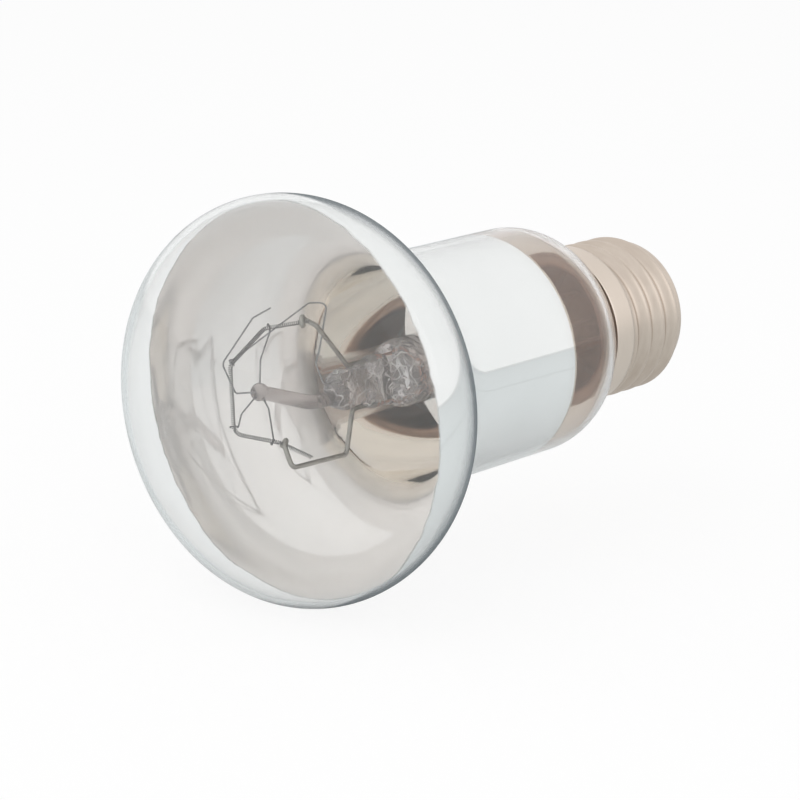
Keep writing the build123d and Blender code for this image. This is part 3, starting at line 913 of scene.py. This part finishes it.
dress(blackBead, blackGlassLook(), "cap_insulator")
blackBead.data.materials.append(cementMaterial)
for face in blackBead.data.polygons:  # its inner side is smeared with cement
    face.material_index = 1 if face.normal.y < tip["smear"] else 0

plateBack, plateFront = tip["contactBack"] + tip["contactGap"], tip["contactFront"]
plateEdge = (tip["contactR"] - tip["contactEdge"], plateFront - tip["contactEdge"])
contactPlate = drawLine("contact_plate", onAxis(joined(
    [(tip["hole"], plateBack), (tip["contactR"], plateBack)],
    arc(plateEdge, tip["contactEdge"], 0, 90, 5),
    run((tip["contactR"] - tip["contactFlat"], plateFront), (tip["hole"], plateFront), 6),
    run((tip["hole"], plateFront), (tip["hole"], plateBack), 2),
)))
spinRound(contactPlate, tip["steps"], angle=tip["smoothAngle"])
brassLook = metalLook("contactBrass", (0.55, 0.44, 0.25), (0.76, 0.66, 0.44), 0.3, 0.5)
dress(contactPlate, brassLook, "centre_contact")

solderFoot = plateFront + tip["solderGap"]
solderDrop = drawLine("solder_drop", onAxis(joined(
    run((0.0, solderFoot), (tip["solderR"], solderFoot), 5),
    tip["solderSide"],
    run((tip["landR"], 0.0), (0.0, 0.0), 4),
)))
spinRound(solderDrop, tip["solderSteps"], angle=tip["solderAngle"])


def solderLook():
    material, look = newLook("tinSolder")
    skin = noiseOn(look, scale=0.6, detail=5)
    finishLook(look, principled(look, {
        "Base Color": ramp(look, skin, (0.3, (0.48, 0.48, 0.48)), (0.7, (0.72, 0.72, 0.71))),
        "Metallic": 1.0, "Roughness": between(look, skin, 0.3, 0.7, 0.25, 0.5),
        "Normal": bump(look, skin, strength=0.6, depth=0.0003),
    }))
    return material


dress(solderDrop, solderLook(), "centre_solder")
print("cap end done")


# floor, light and white surroundings
studio = {
    "floorHeight": -31.55, "floorR": 3, "floorSides": 96, "floorWhite": 0.9, "mirrorWhite": 0.5,
    "floorColour": (0.97, 0.97, 0.97, 1), "white": (1, 1, 1, 1), "warmWhite": (1, 0.985, 0.96, 1),
    # the far fade and the ring set the painted reflection of the floor in mirrors
    "floorFar": (0.8, 2.8), "mirroredRingRise": (98, 104), "mirroredRingFall": (105, 118),
    "ambient": 0.62, "behindGlass": 2.1,
}
softBoxes = {
    "keyBox": {
        "spot": (-0.25, -0.45, 0.75), "target": (0, -0.05, 0), "size": (1.0, 0.7), "power": 2.2,
        "inMetal": False,
    },
    "fillBox": {
        "spot": (0.8, 0.2, 0.5), "target": (0, -0.05, 0), "size": (0.8, 0.8), "power": 1.0,
        "inMetal": True,
    },
    "frontBox": {
        "spot": (0.5, -0.62, 0.3), "target": (0, -0.08, 0), "size": (0.9, 0.9), "power": 2.6,
        "inMetal": False,
    },
}
bpy.ops.object.select_all(action="DESELECT")
bpy.ops.mesh.primitive_circle_add(
    vertices=studio["floorSides"], radius=studio["floorR"], fill_type="NGON",
    location=(0, 0, studio["floorHeight"] * mm),
)
floor = bpy.context.object
floor.name = "studio_floor"


def lightPath(look, kind):
    return look.node("ShaderNodeLightPath", {}, {}, kind)


def atMostOne(look, value):
    return look.sum("MINIMUM", value, 1.0)


def seenDirectly(look):  # camera, mirror and glass rays
    kinds = ("Is Camera Ray", "Is Glossy Ray", "Is Transmission Ray")
    rays = [lightPath(look, kind) for kind in kinds]
    return atMostOne(look, rays[0] + rays[1] + rays[2])


def floorLook():  # painted reflection: mirrors see a greyer, cooler floor than the camera does
    material, look = newLook("paleFloor")
    spot = look.node("ShaderNodeTexCoord", {}, {}, "Object")
    away = look.node("ShaderNodeVectorMath", {"operation": "LENGTH"}, {0: spot}, 1)
    far = between(look, away, *studio["floorFar"])
    edge = rise(look, away, 0, studio["mirroredRingRise"])  # painted reflection: a darker ring that only mirrors see
    edge = edge * fall(look, away, 0, studio["mirroredRingFall"])
    shade = far + 0.05 * noiseOn(look, scale=0.02, detail=3) - 0.2 * edge + 0.2
    # painted reflection: the floor's tone as mirrors see it, lighter far away and darker at the
    # ring
    grain = ramp(
        look, shade,
        (0.0, (0.46, 0.51, 0.52)), (0.2, (0.59, 0.65, 0.665)), (1.0, (0.95, 0.95, 0.95)),
    )
    mirrors = atMostOne(look, lightPath(look, "Glossy Depth"))
    colour = mixColours(look, mirrors, studio["floorColour"], grain)
    plain = look.node("ShaderNodeBsdfDiffuse", {}, {"Color": colour})
    white = look.node("ShaderNodeEmission", {}, {"Color": studio["white"], "Strength": 1.0})
    share = between(look, mirrors, 0.2, 0.8, studio["floorWhite"], studio["mirrorWhite"])
    finishLook(look, mixLooks(look, share * seenDirectly(look), plain, white))
    return material


floor.data.materials.append(floorLook())

world = bpy.data.worlds.new("studioWorld")
scene.world = world
world.use_nodes = True
world.node_tree.nodes.clear()
sky = Look(world.node_tree)


def glow(colour, strength):
    return sky.node("ShaderNodeBackground", {}, {"Color": colour, "Strength": strength})


scattered = atMostOne(sky, lightPath(sky, "Diffuse Depth"))
enclosed = scattered * lightPath(sky, "Is Transmission Ray")  # lit through the glass
lit = mixLooks(
    sky, enclosed,
    glow(studio["white"], studio["ambient"]), glow(studio["warmWhite"], studio["behindGlass"]),
)
seen = seenDirectly(sky) * (1.0 - scattered)
surround = mixLooks(sky, seen, lit, glow(studio["white"], 1.0))
sky.node("ShaderNodeOutputWorld", {}, {"Surface": surround})


def softBox(name, spot, target, size, power, inMetal):  # the mirror doesn't show its edge
    bpy.ops.object.light_add(type="AREA", location=spot)
    lamp = bpy.context.object
    lamp.name = name
    lamp.data.shape = "RECTANGLE"
    lamp.data.size, lamp.data.size_y = size
    lamp.data.energy = power
    lamp.visible_glossy = inMetal
    lamp.visible_transmission = False
    lamp.rotation_euler = (Vector(target) - Vector(spot)).to_track_quat("-Z", "Y").to_euler()


for name, settings in softBoxes.items():
    softBox(name, **settings)
scene.view_settings.view_transform = "Standard"
print("studio done")
